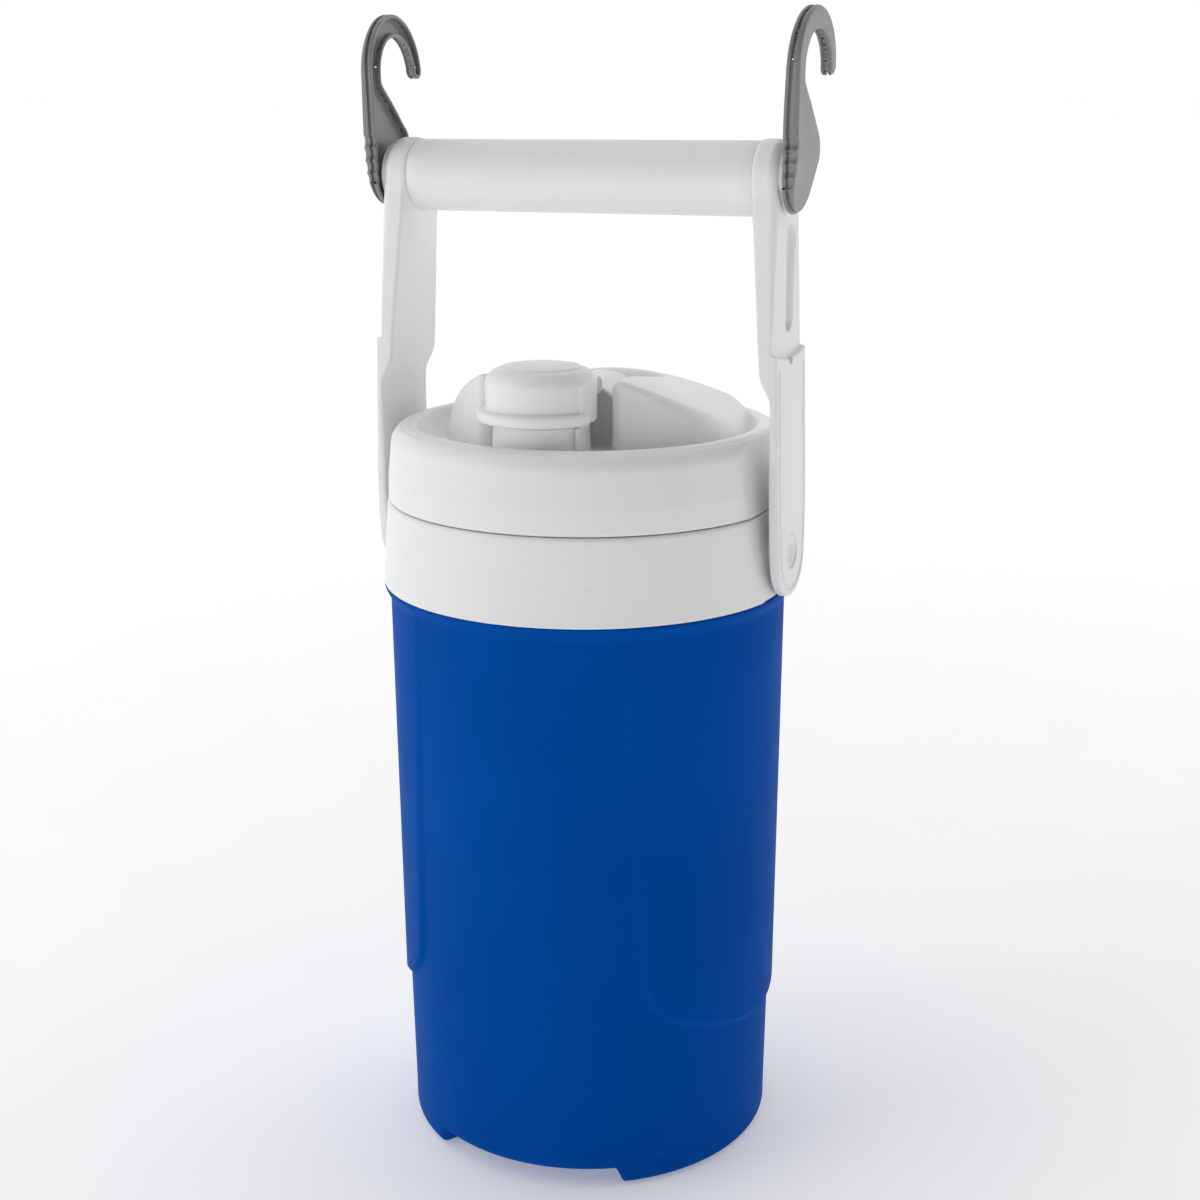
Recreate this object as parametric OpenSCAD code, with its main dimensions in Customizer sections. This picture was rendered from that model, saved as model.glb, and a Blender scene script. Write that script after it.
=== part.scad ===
// Insulated half-gallon jug with a screw lid, a flip-up spout cap, a swinging
// carry handle and two fold-out hanging hooks.
// Origin: centre of the base, on the surface the jug stands on. +Z up, -Y front.

/* [Body] */
// Outer radius of the body where its wall would reach the ground
body_r = 69.7; // [68:0.1:71]
// Growth of the body radius for each millimetre of height
body_taper = 0.0172; // [0.012:0.001:0.02]
// Height of the top of the body's shoulder flange
body_top = 217.1; // [214:0.1:218]
// Wall thickness of the outer shell
shell_wall = 2.2; // [1.6:0.1:2.6]
// Height of the two curved feet
foot_h = 5.9; // [4:0.1:7]
// Half angle of the gap between the feet, at front and back
foot_gap = 32; // [15:1:40]
// Half width of the raised side panels
panel_half = 56.5; // [50:0.5:58]
// Lowest edge of the raised side panels
panel_bottom = 54; // [45:0.5:70]
// Radius of the curve along the lower edge of the raised side panels
panel_sweep = 105; // [90:1:130]

/* [Liner] */
// Inner radius of the drink liner
liner_r = 55; // [52:0.5:56]
// Height of the liner's floor
liner_floor = 24; // [20:0.5:30]
// Inner radius of the liner's neck
neck_r = 61.8; // [61.5:0.1:62]
// Height of the neck's rim
neck_top = 262; // [261:0.1:262]

/* [Collar] */
// Outer radius of the collar at its lower edge
collar_r = 76; // [75:0.1:77]
// Outer radius of the collar and the lid where they meet
seam_r = 73.6; // [73:0.1:74]
// Height of the collar's upper edge
collar_top = 248; // [247:0.1:248.2]

/* [Lid] */
// Height of the lid's rim
rim_z = 276; // [275:0.1:278]
// Height of the floor of the dished lid top
dish_z = 268.5; // [268:0.1:269]
// Radius of the raised dome
dome_r = 58; // [56:0.5:60]
// Distance of the dome's centre behind the lid's centre
dome_y = 16; // [12:0.5:18]
// Height of the crown of the dome's arched roof
dome_top = 299; // [296:0.5:300]
// Rise of the lid in one turn of its two-start thread
thread_lead = 12; // [11:0.5:12]

/* [Spout] */
// Distance of the spout from the lid's centre, towards the front
spout_y = 41; // [40:0.5:42]
// Outer radius of the spout cap
cap_r = 19.4; // [19:0.1:20]
// Height of the top of the spout cap
cap_top = 302.5; // [301:0.5:303]
// Inner radius of the spout
spout_bore = 6; // [5.5:0.1:6]

/* [Handle] */
// Height of the handle's pivot
pivot_z = 233; // [232:0.5:234]
// Height of the axis of the grip
grip_z = 363.2; // [360:0.2:366]
// Radius of the grip
grip_r = 12.85; // [12:0.05:13.5]
// Half width of the arms at the seam's height
arm_half = 18.1; // [17:0.1:19]

/* [Hooks] */
// Thickness of a hook
hook_t = 5.5; // [5:0.1:6]
// Height of a hook's top above its pivot
hook_rise = 56.9; // [55:0.1:58]

/* [Hidden] */
$fn = 96;

// Clearances: between pieces fixed together, and round a turning shaft
gap = 0.1;
running = 0.05;
// A length longer than the whole jug, for cutting tools
far = 500;

body_blue = [0.02, 0.25, 0.62];
white = [0.93, 0.93, 0.94];
hook_grey = [0.42, 0.43, 0.45];
foam_yellow = [0.9, 0.85, 0.65];
seal_grey = [0.75, 0.76, 0.78];

shell_floor = foot_h + shell_wall;
liner_wall = 2;
liner_round = 12;
flare_z = 212;
flare_end = 226;
neck_out = neck_r + 2.8;
flange_low = collar_top - 3.9;
flange_high = flange_low + 2.4;
flange_r = 69;
spigot_in = 68.6;
spigot_out = 71;
spigot_low = body_top - 8;
port_r = 9;
boss_r = 9;
boss_x = 75.4;
pin_r = 4.05;
seam_gap = 0.6;
skirt_in = neck_out + 3;
under_lid = 266;
plug_low = 240;
neck_ring_r = 16.8;
neck_ring_top = 281.8;
cap_low = 282.4;
hinge_y = -13;
hinge_z = 291;
hinge_pin_r = 1.9;
arm_out = 75.5;
recess_r = 60.7;
hook_in = arm_out + 1.1;
stud_r = 5;

// Body radius and side panel radius at a height
function body_at(z) = body_r + z * body_taper;
function panel_at(z) = 72.03 + z * 0.0084;
// Points of an arc about [x, z]
function arc(x, z, r, from, to, n = 8) =
    [for (i = [0 : n]) let (a = from + (to - from) * i / n) [x + r * cos(a), z + r * sin(a)]];

// A solid turned round the jug's axis from a list of [radius, height] points
module turned(points, sweep = 360) {
    rotate_extrude(angle = sweep, $fn = 144) polygon(points);
}

// A round bar along X from one place to another, at a height and a depth
module bar_x(from, to, r, z, y = 0) {
    translate([from, y, z]) rotate([0, 90, 0]) cylinder(h = to - from, r = r);
}

// An outline drawn in Y and Z, thickened along X
module plate_x(from, to) {
    translate([from, 0, 0]) rotate([90, 0, 90]) linear_extrude(to - from) children();
}

// What the flats remove on one side, where the handle's arms stand close
module side_flat() {
    lean = 7.2;
    flat_x = 75.3;
    translate([flat_x, -far / 2, body_top]) rotate([0, -lean, 0]) cube([far, far, far]);
    translate([flat_x, -far / 2, body_top - 10]) cube([far, far, 10 + gap]);
}

module with_flats() {
    difference() {
        children();
        side_flat();
        mirror([1, 0, 0]) side_flat();
    }
}

// Two helical ridges from a wall radius to a crest radius, at a height
module thread(wall, crest, z) {
    length = 150;
    step = 10;
    n = length / step;
    base_h = 2.6;
    crest_h = 1.6;
    ring = [[wall, -base_h / 2], [crest, -crest_h / 2], [crest, crest_h / 2], [wall, base_h / 2]];
    points = [for (i = [0 : n]) let (a = i * step) for (p = ring)
        [p[0] * cos(a), p[0] * sin(a), z + p[1] + thread_lead * a / 360]];
    sides = [for (i = [0 : n - 1]) for (k = [0 : 3])
        [i * 4 + k, i * 4 + (k + 1) % 4, (i + 1) * 4 + (k + 1) % 4, (i + 1) * 4 + k]];
    triangles = [for (s = sides) each [[s[0], s[1], s[2]], [s[0], s[2], s[3]]]];
    last = n * 4;
    faces = concat(triangles, [[0, 3, 2], [0, 2, 1]],
        [[last, last + 1, last + 2], [last, last + 2, last + 3]]);
    outward = crest > wall;
    for (start = [0, 180])
        rotate([0, 0, start])
            polyhedron(points, outward ? faces : [for (f = faces) [f[2], f[1], f[0]]]);
}

// ---------------------------------------------------------------- body

// What a side panel keeps: sides that spread upwards, cut corners and a curved lower edge
module panel_block() {
    top = body_top - 5;
    right = [[panel_half + 4.6, top], [panel_half, panel_bottom + 25],
        [panel_half - 1.6, panel_bottom + 18.5], [panel_half - 8, panel_bottom + 10.5],
        [panel_half - 20, panel_bottom - 5]];
    intersection() {
        plate_x(30, 80) polygon(concat(right, [for (i = [4 : -1 : 0]) [-right[i][0], right[i][1]]]));
        bar_x(30, 80, panel_sweep, panel_bottom + panel_sweep);
    }
}

module outer_shell() {
    edge = 4;
    foot_edge = 3.5;
    flare = 4.4;
    low = body_top - flare;
    inside_top = body_at(low) - shell_wall;
    color(body_blue)
    with_flats() {
        turned(concat(
            [[port_r + gap, foot_h]],
            arc(body_at(10) - edge, foot_h + edge, edge, -90, 0),
            [[body_at(low), low], [collar_r - 0.3, body_top - 0.8], [collar_r - 0.3, body_top],
             [spigot_out + gap, body_top], [inside_top, low]],
            arc(body_at(12) - shell_wall - edge, shell_floor + edge, edge, 0, -90),
            [[port_r + gap, shell_floor]]));
        for (turn = [foot_gap - 90, foot_gap + 90])
            rotate([0, 0, turn])
                turned(concat([[57, 7]], [[59, 0]],
                    arc(body_at(4) - foot_edge, foot_edge, foot_edge, -90, 0),
                    [[body_at(10), 10], [64, 7]]), 180 - 2 * foot_gap);
        for (side = [0, 180])
            rotate([0, 0, side])
                intersection() {
                    turned([[71, 50], [panel_at(50), 50], [panel_at(body_top), body_top - 2],
                        [71.5, body_top - 2]]);
                    panel_block();
                }
    }
}

module foam_jacket() {
    under = liner_floor - liner_wall - gap;
    inside = liner_r + liner_wall + gap;
    color(foam_yellow)
    turned(concat(
        [[port_r + gap, shell_floor + gap]],
        arc(body_at(12) - shell_wall - gap - 5, shell_floor + gap + 5, 5, -90, 0),
        [[body_at(spigot_low) - shell_wall - gap, spigot_low - gap],
         [spigot_in - gap, spigot_low - gap], [spigot_in - gap, body_top - 1],
         [inside + 2.6, body_top - 1], [inside, flare_z - 1.5]],
        arc(inside - liner_round - gap, under + liner_round + gap, liner_round + gap, 0, -90),
        [[port_r + gap, under]]));
}

module inner_liner() {
    outside = liner_r + liner_wall;
    under = liner_floor - liner_wall;
    round_in = liner_round - liner_wall;
    color(white) {
        turned(concat(
            [[0, under]],
            arc(outside - liner_round, under + liner_round, liner_round, -90, 0),
            [[outside, flare_z - 1], [neck_out, flare_end + 0.8], [neck_out, flange_low],
             [flange_r, flange_low], [flange_r, flange_high], [neck_out, flange_high],
             [neck_out, neck_top - 0.6], [neck_out - 0.6, neck_top], [neck_r, neck_top],
             [neck_r, flare_end], [liner_r, flare_z]],
            arc(liner_r - round_in, liner_floor + round_in, round_in, 0, -90),
            [[0, liner_floor]]));
        thread(neck_out - 0.5, neck_out + 2.6, 253);
    }
}

module collar() {
    ledge = flange_low - gap;
    shelf_r = neck_out + 0.6;
    inside = 68.2;
    color(white)
    difference() {
        union() {
            with_flats()
                turned([
                    [spigot_in, spigot_low], [spigot_out, spigot_low], [spigot_out, body_top],
                    [collar_r - 0.6, body_top], [collar_r, body_top + 0.6], [collar_r - 0.2, body_top + 5],
                    [seam_r + 0.5, collar_top - 3], [seam_r, collar_top - 0.6], [seam_r - 0.8, collar_top],
                    [flange_r + 0.2, collar_top], [flange_r + 0.2, ledge],
                    [shelf_r, ledge], [shelf_r, ledge - 2.5], [inside, ledge - 5], [inside, body_top],
                    [spigot_in, body_top - 0.5]]);
            for (side = [0, 180])
                rotate([0, 0, side]) bar_x(67, boss_x, boss_r, pivot_z);
        }
        for (side = [0, 180])
            rotate([0, 0, side]) bar_x(60, far, pin_r + running, pivot_z);
    }
}

// Plug that closes the port the foam is poured through
module base_plug() {
    color(body_blue)
    turned([[0, foot_h - 1.8], [port_r + 3, foot_h - 1.8], [port_r + 4, foot_h - 1],
        [port_r + 4, foot_h], [port_r, foot_h], [port_r, shell_floor + 4], [0, shell_floor + 4]]);
}

// ---------------------------------------------------------------- lid

// Plan of the channel in the dome: wide round the spout, narrow behind the hinge
module channel_plan(inset = 0) {
    polygon([[-30 - inset, -75], [-25.5 - inset, -43], [-16.8 - inset, -7], [-16.8 - inset, 31 + inset],
        [16.8 + inset, 31 + inset], [16.8 + inset, -7], [25.5 + inset, -43], [30 + inset, -75]]);
}

// The dome: a disc under an arched roof that falls gently to the back, with the channel in front
module dome(shrink = 0) {
    roof_r = 90;
    roof_fall = 8;
    back_slope = 35;
    inside_rim = 66;
    low = dish_z - 2;
    difference() {
        translate([0, 0, -shrink]) intersection() {
            translate([0, dome_y, low]) cylinder(h = 40, r = dome_r - shrink, $fn = 144);
            translate([0, 0, low]) cylinder(h = 40, r = inside_rim - shrink, $fn = 144);
            translate([0, -25, dome_top - roof_r / cos(roof_fall)]) rotate([90 - roof_fall, 0, 0])
                cylinder(h = far, r = roof_r, center = true, $fn = 144);
            translate([0, 48, dome_top - 10]) rotate([-back_slope, 0, 0])
                translate([-far / 2, -far, -far]) cube([far, far * 2, far]);
        }
        translate([0, 0, dish_z - 10]) linear_extrude(60) channel_plan(shrink);
    }
}

// Block behind the spout that carries the cap's hinge, with a barrel-shaped top
module hinge_block() {
    half = 16.9;
    crown_r = 20;
    crown_top = 292;
    intersection() {
        translate([-half, -9, under_lid]) cube([2 * half, 29, 30]);
        translate([0, 40, crown_top - crown_r]) rotate([90, 0, 0]) cylinder(h = 60, r = crown_r);
    }
    translate([-half, -9, under_lid]) cube([2 * half, 41, 12]);
    translate([-6.2, -17, under_lid]) cube([12.4, 10, hinge_z - under_lid]);
    bar_x(-6.2, 6.2, 4, hinge_z, hinge_y);
}

module lid_shell() {
    edge = 7;
    color(white)
    difference() {
        union() {
            with_flats()
                turned(concat(
                    [[skirt_in, collar_top + seam_gap], [seam_r - 0.6, collar_top + seam_gap],
                     [seam_r, collar_top + seam_gap + 0.6], [seam_r - 0.2, 257]],
                    arc(seam_r - 1.6 - edge, rim_z - edge, edge, 0, 80),
                    [[63.4, rim_z], [62.2, rim_z - 0.8], [60, dish_z + 1.4], [58.4, dish_z],
                     [0, dish_z], [0, under_lid], [skirt_in - 1, under_lid], [skirt_in, under_lid - 1]]));
            difference() {
                dome();
                dome(2.4);
            }
            hinge_block();
            translate([0, -spout_y, under_lid]) cylinder(h = neck_ring_top - under_lid, r = neck_ring_r);
            thread(skirt_in + 0.5, skirt_in - 2.6, 250);
        }
        translate([0, -spout_y, under_lid - 1]) cylinder(h = 40, r = 11);
        bar_x(-20, 20, hinge_pin_r + running, hinge_z, hinge_y);
        translate([-13, -3, under_lid - 1]) cube([26, 20, 20]);
    }
}

module lid_foam() {
    color(foam_yellow)
    difference() {
        translate([0, 0, plug_low + 2.2]) cylinder(h = under_lid - 0.6 - plug_low - 2.2, r = neck_r - 2.9);
        translate([0, -spout_y, 0]) cylinder(h = far, r = 11.2);
    }
}

// Inner plug of the lid: a cup that holds the foam and reaches into the neck
module lid_plug() {
    outside = neck_r - 0.7;
    inside = outside - 2;
    lip = neck_top + 2.5;
    color(white)
    difference() {
        turned([[0, plug_low], [outside - 2, plug_low], [outside, plug_low + 2], [outside, lip],
            [neck_out + 2.1, lip], [neck_out + 2.1, under_lid - gap], [inside, under_lid - gap],
            [inside, plug_low + 2], [0, plug_low + 2]]);
        translate([0, -spout_y, 0]) cylinder(h = far, r = 8.2);
    }
}

module lid_gasket() {
    low = neck_top + 0.05;
    color(seal_grey)
    turned([[neck_r - 0.5, low], [neck_out + 1.6, low], [neck_out + 1.6, neck_top + 2.4],
        [neck_r - 0.5, neck_top + 2.4]]);
}

module spout_nozzle() {
    lip = 290.5;
    color(white)
    translate([0, -spout_y, 0])
        turned(concat([[spout_bore, plug_low + 0.4], [8, plug_low + 0.4], [8, under_lid], [10.9, under_lid],
            [10.9, neck_ring_top - 0.2], [9.2, neck_ring_top - 0.2]],
            arc(7.7, lip - 1.5, 1.5, 0, 90, 4),
            [[spout_bore, lip]]));
}

// Ring that seals the nozzle against the floor of the lid's plug
module nozzle_seal() {
    color(seal_grey)
    translate([0, -spout_y, plug_low + 2.1])
        difference() {
            cylinder(h = 2.4, r = 10.4);
            translate([0, 0, -1]) cylinder(h = 5, r = 8.05);
        }
}

// ---------------------------------------------------------------- spout cap

module spout_cap() {
    inside = cap_r - 2.8;
    shoulder = 298;
    disc_r = 14.6;
    lip_angle = 74;
    lug_x = 8.4;
    lug_half = 1.9;
    lug_r = 3.4;
    color(white)
    difference() {
        union() {
            translate([0, -spout_y, 0]) {
                turned([[0, cap_low], [cap_r, cap_low], [cap_r, shoulder], [cap_r - 0.7, shoulder + 1.3],
                    [cap_r - 2.4, cap_top - 2.4], [disc_r, cap_top - 1.4], [disc_r - 0.5, cap_top - 0.7],
                    [disc_r - 4, cap_top - 0.2], [0, cap_top]]);
                rotate([0, 0, -90 - lip_angle])
                    turned([[cap_r - 1, cap_low], [22.1, cap_low], [22.6, cap_low + 1.5],
                        [22, cap_low + 4], [21, cap_low + 4.6], [cap_r - 1, cap_low + 4.6]], 2 * lip_angle);
            }
            for (side = [-1, 1]) {
                translate([side * lug_x - lug_half, -24, hinge_z - lug_r])
                    cube([2 * lug_half, 24 + hinge_y, 2 * lug_r]);
                bar_x(side * lug_x - lug_half, side * lug_x + lug_half, lug_r, hinge_z, hinge_y);
            }
        }
        translate([0, -spout_y, cap_low - 1]) cylinder(h = 296 - cap_low + 1, r = inside);
        bar_x(-20, 20, hinge_pin_r + running, hinge_z, hinge_y);
    }
}

module cap_seal() {
    color(seal_grey)
    translate([0, -spout_y, 0])
        turned([[0, 288.7], [4.4, 288.7], [5.2, 290.2], [5.2, 290.6], [9, 290.6], [9, 293],
            [6, 293], [6, 296 - 0.05], [0, 296 - 0.05]]);
}

module cap_hinge_pin() {
    color(white) bar_x(-10.2, 10.2, hinge_pin_r, hinge_z, hinge_y);
}

// ---------------------------------------------------------------- handle

// Side view of an arm: round ends, widest at the height of the seam
module arm_outline() {
    end_r = 16.3;
    top_r = 13;
    step_z = 306;
    step_half = arm_half - 0.4;
    polygon([[-end_r, pivot_z], [-arm_half, pivot_z + 17], [-step_half, step_z], [-top_r, grip_z],
        [top_r, grip_z], [step_half, step_z], [arm_half, pivot_z + 17], [end_r, pivot_z]]);
    translate([0, pivot_z]) circle(end_r);
    translate([0, grip_z]) circle(top_r);
}

// Front view of the right arm: thin beside the lid, thick below the grip
module arm_profile() {
    polygon([[80.1, 210], [77.15, 322], [77.15, 400], [66, 400], [66, grip_z - 12.9], [67.3, grip_z - 13.2],
        [72.4, 297], [75.25, 287], [76.1, 210]]);
}

module right_arm() {
    spigot_r = 9.5;
    slot_half = 4;
    color(white)
    difference() {
        union() {
            difference() {
                intersection() {
                    plate_x(50, 90) arm_outline();
                    translate([0, 40, 0]) rotate([90, 0, 0]) linear_extrude(80) arm_profile();
                }
                bar_x(arm_out, far, recess_r, grip_z);
            }
            bar_x(54, 67, spigot_r, grip_z);
            bar_x(arm_out - 1, hook_in - 0.3, 11.5, grip_z);
        }
        bar_x(60, far, stud_r + running, grip_z);
        bar_x(60, far, pin_r + running, pivot_z);
        bar_x(77.4, far, 6.1, pivot_z);
        plate_x(arm_out - 3.2, 90) {
            translate([3.5 - slot_half, 315]) square([2 * slot_half, 29]);
            translate([3.5, 315]) circle(slot_half);
            translate([3.5, 344]) circle(slot_half);
        }
        bar_x(arm_out + 0.4, far, 3, grip_z - recess_r, 0);
    }
}

module left_arm() {
    mirror([1, 0, 0]) right_arm();
}

module grip_sleeve() {
    half = 65.9;
    color(white)
    difference() {
        bar_x(-half, half, grip_r, grip_z);
        bar_x(-half - 1, half + 1, 9.6, grip_z);
    }
}

// Push-in pin that joins an arm to the collar, with a hollow head
module right_pivot_pin() {
    color(white)
    difference() {
        union() {
            bar_x(67.5, 79, pin_r, pivot_z);
            bar_x(77.5, 79.2, 6, pivot_z);
        }
        bar_x(74, 90, 2.9, pivot_z);
    }
}

module left_pivot_pin() {
    mirror([1, 0, 0]) right_pivot_pin();
}

// ---------------------------------------------------------------- hooks

// Side view of a hook about its pivot: a broad plate, a slender shank and a J
module hook_outline() {
    front = -14.5;
    outer_r = 21.2;
    outer_y = front + outer_r;
    outer_z = hook_rise - outer_r;
    throat_r = 14;
    throat_y = 7.7;
    throat_z = outer_z - 0.9;
    tip_r = 3.3;
    tip_z = outer_z + 1.8;
    difference() {
        translate([outer_y, outer_z]) circle(outer_r);
        translate([throat_y, throat_z]) circle(throat_r);
        translate([front - 1, tip_z - 60]) square([60, 60]);
    }
    translate([outer_y + 17.85, tip_z]) circle(tip_r);
    difference() {
        union() {
            translate([-1.8, 1]) circle(12.7);
            translate([2.2, 8]) circle(12.6);
            polygon([[front, 1], [front, outer_z], [front + 0.1, tip_z], [throat_y - 13.7, tip_z],
                [throat_y - throat_r, throat_z], [-5.9, 32.6], [-4.9, 31.2], [-2.9, 29.6], [1.4, 26],
                [9.2, 18], [12.8, 14.6], [10, 0], [0, -6]]);
        }
        for (k = [0 : 3])
            translate([front - 1.2, -1.5 + 4.5 * k]) circle(2.2, $fn = 32);
    }
}

// All space on the inner side of a plane that leans out like the J, through a place on its front edge
module inside_lean(x, z) {
    lean = 2.7;
    splay = 2.4;
    translate([x, -14.5, grip_z + z]) rotate([0, lean, -splay])
        translate([-far, -far / 2, -far / 2]) cube([far, far, far]);
}

module right_hook() {
    hook_out = hook_in + hook_t;
    plate_slope = 8.3;
    slope_z = grip_z + 7;
    color(hook_grey) {
        difference() {
            intersection() {
                plate_x(hook_in, hook_out + 3) translate([0, grip_z]) hook_outline();
                union() {
                    inside_lean(hook_out - 0.7, 37);
                    translate([hook_out - far, -far / 2, 0]) cube([far, far, far]);
                }
            }
            inside_lean(hook_in, 21);
            translate([hook_out, 0, slope_z]) rotate([0, plate_slope, 0])
                translate([0, -far / 2, -far]) cube([far, far, far]);
        }
        bar_x(61, hook_in + 1, stud_r, grip_z);
    }
}

module left_hook() {
    mirror([1, 0, 0]) right_hook();
}

outer_shell();
foam_jacket();
inner_liner();
collar();
base_plug();
lid_shell();
lid_foam();
lid_plug();
lid_gasket();
spout_nozzle();
nozzle_seal();
spout_cap();
cap_seal();
cap_hinge_pin();
right_arm();
left_arm();
grip_sleeve();
right_pivot_pin();
left_pivot_pin();
right_hook();
left_hook();
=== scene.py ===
"""Looks for the insulated jug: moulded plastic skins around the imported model.
Shapes are worked out in millimetres, in the row's frame, and scaled to metres as meshes are made."""

import math

import bpy
import numpy as np
from mathutils import Matrix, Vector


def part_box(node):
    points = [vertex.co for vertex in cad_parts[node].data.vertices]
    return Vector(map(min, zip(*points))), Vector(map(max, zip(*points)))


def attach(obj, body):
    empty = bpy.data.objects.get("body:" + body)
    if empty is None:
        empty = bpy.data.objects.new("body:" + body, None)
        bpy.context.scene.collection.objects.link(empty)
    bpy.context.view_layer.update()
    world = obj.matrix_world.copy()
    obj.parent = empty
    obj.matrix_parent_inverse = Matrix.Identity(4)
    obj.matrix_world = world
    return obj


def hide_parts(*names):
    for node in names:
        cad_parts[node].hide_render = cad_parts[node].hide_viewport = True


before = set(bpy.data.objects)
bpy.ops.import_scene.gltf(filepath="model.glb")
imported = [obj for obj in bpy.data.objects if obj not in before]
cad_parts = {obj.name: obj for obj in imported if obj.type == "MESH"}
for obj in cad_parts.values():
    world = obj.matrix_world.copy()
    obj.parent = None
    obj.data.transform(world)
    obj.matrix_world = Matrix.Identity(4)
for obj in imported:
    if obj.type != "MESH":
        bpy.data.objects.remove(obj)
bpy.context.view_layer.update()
MM = 0.001


def span(node):
    """Lowest and highest corner of a CAD node, in millimetres."""
    low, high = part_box(node)
    return np.array(low) / MM, np.array(high) / MM


def middle(node):
    low, high = span(node)
    return (low + high) / 2


# Places that the CAD settles
BODY_TOP = span("outer_shell")[1][2]
FOOT = span("base_plug")[0][2] + 1.8
COLLAR_TOP = span("collar")[1][2]
LID_LOW = span("lid_shell")[0][2]
CAP_LOW, CAP_TOP = span("spout_cap")[0][2], span("spout_cap")[1][2]
SPOUT_Y = middle("spout_nozzle")[1]
HINGE_Y, HINGE_Z = middle("cap_hinge_pin")[1:]
PIVOT_Z = middle("right_pivot_pin")[2]
GRIP_Z = middle("grip_sleeve")[2]
GRIP_R = (span("grip_sleeve")[1][2] - span("grip_sleeve")[0][2]) / 2
GRIP_HALF = span("grip_sleeve")[1][0]
HOOK_RISE = span("right_hook")[1][2] - GRIP_Z

# ------------------------------------------------------------------ camera and light

# Width of the sensor and length of the lens, in millimetres
SENSOR, LENS = 36, 54.9426
EYE = (258.84, -616.65, 388.29)
LOOK_AZIMUTH, LOOK_DOWN, LOOK_ROLL = (math.radians(a) for a in (22.38, 15.17, -0.19))
# Direction that the surroundings are brightest in
BRIGHT_SIDE = (-0.5, 0.87, 0.25)


def add_camera():
    """The camera: turned about the upright, tipped down and then rolled a little."""
    turn_sin, turn_cos = math.sin(LOOK_AZIMUTH), math.cos(LOOK_AZIMUTH)
    down_sin, down_cos = math.sin(LOOK_DOWN), math.cos(LOOK_DOWN)
    roll_sin, roll_cos = math.sin(LOOK_ROLL), math.cos(LOOK_ROLL)
    forward = np.array([-turn_sin * down_cos, turn_cos * down_cos, -down_sin])
    level = np.array([turn_cos, turn_sin, 0.0])
    upright = np.cross(level, forward)
    right = roll_cos * level + roll_sin * upright
    up = roll_cos * upright - roll_sin * level
    data = bpy.data.cameras.new("camera")
    data.sensor_width = SENSOR
    data.lens = LENS
    data.clip_end = 50
    camera = bpy.data.objects.new("camera", data)
    camera.matrix_world = Matrix([[right[i], up[i], -forward[i], EYE[i] * MM] for i in range(3)]
                                 + [[0, 0, 0, 1]])
    bpy.context.scene.collection.objects.link(camera)
    bpy.context.scene.camera = camera


def add_softbox(name, place, target, size, power):
    """A rectangular area light at a place, in metres, facing a target."""
    data = bpy.data.lights.new(name, "AREA")
    data.shape = "RECTANGLE"
    data.size, data.size_y = size
    data.energy = power
    lamp = bpy.data.objects.new(name, data)
    away = np.array(place, float) - np.array(target, float)
    away /= np.linalg.norm(away)
    across = np.cross([0, 0, 1], away)
    across /= np.linalg.norm(across)
    over = np.cross(away, across)
    lamp.matrix_world = Matrix([[across[i], over[i], away[i], place[i]] for i in range(3)]
                               + [[0, 0, 0, 1]])
    bpy.context.scene.collection.objects.link(lamp)


def add_world():
    """Plain studio: white behind and on the left, soft grey in front on the right, pale at the horizon."""
    world = bpy.data.worlds.new("studio")
    bpy.context.scene.world = world
    world.use_nodes = True
    nodes, links = world.node_tree.nodes, world.node_tree.links
    place = nodes.new("ShaderNodeTexCoord")
    towards = nodes.new("ShaderNodeVectorMath")
    towards.operation = "DOT_PRODUCT"
    towards.inputs[1].default_value = BRIGHT_SIDE
    links.new(place.outputs["Generated"], towards.inputs[0])
    glow = remap(nodes, links, towards.outputs["Value"], (-0.35, 0.5), (0.12, 1.0), "SMOOTHSTEP")
    split = nodes.new("ShaderNodeSeparateXYZ")
    links.new(place.outputs["Generated"], split.inputs["Vector"])
    haze = remap(nodes, links, split.outputs["Z"], (0.1, 0.35), (0.97, 0))
    brighter = nodes.new("ShaderNodeMath")
    brighter.operation = "MAXIMUM"
    links.new(glow, brighter.inputs[0])
    links.new(haze, brighter.inputs[1])
    links.new(brighter.outputs[0], nodes["Background"].inputs["Color"])
    nodes["Background"].inputs["Strength"].default_value = 1.0


# ------------------------------------------------------------------ materials

# Height of the flow marks and depth that light reaches into white plastic, in metres
FLOW_MARK = 0.00012
GLOW_DEPTH = (0.004, 0.0038, 0.0034)
# The greatest extra roughness of a scuff
SCUFF_ROUGH = 0.18


def remap(nodes, links, value, from_range, to_range, bend="LINEAR"):
    """A value carried from one range to another, and held at its ends."""
    ramp = nodes.new("ShaderNodeMapRange")
    ramp.interpolation_type = bend
    ramp.inputs["From Min"].default_value, ramp.inputs["From Max"].default_value = from_range
    ramp.inputs["To Min"].default_value, ramp.inputs["To Max"].default_value = to_range
    links.new(value, ramp.inputs["Value"])
    return ramp.outputs["Result"]


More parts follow.
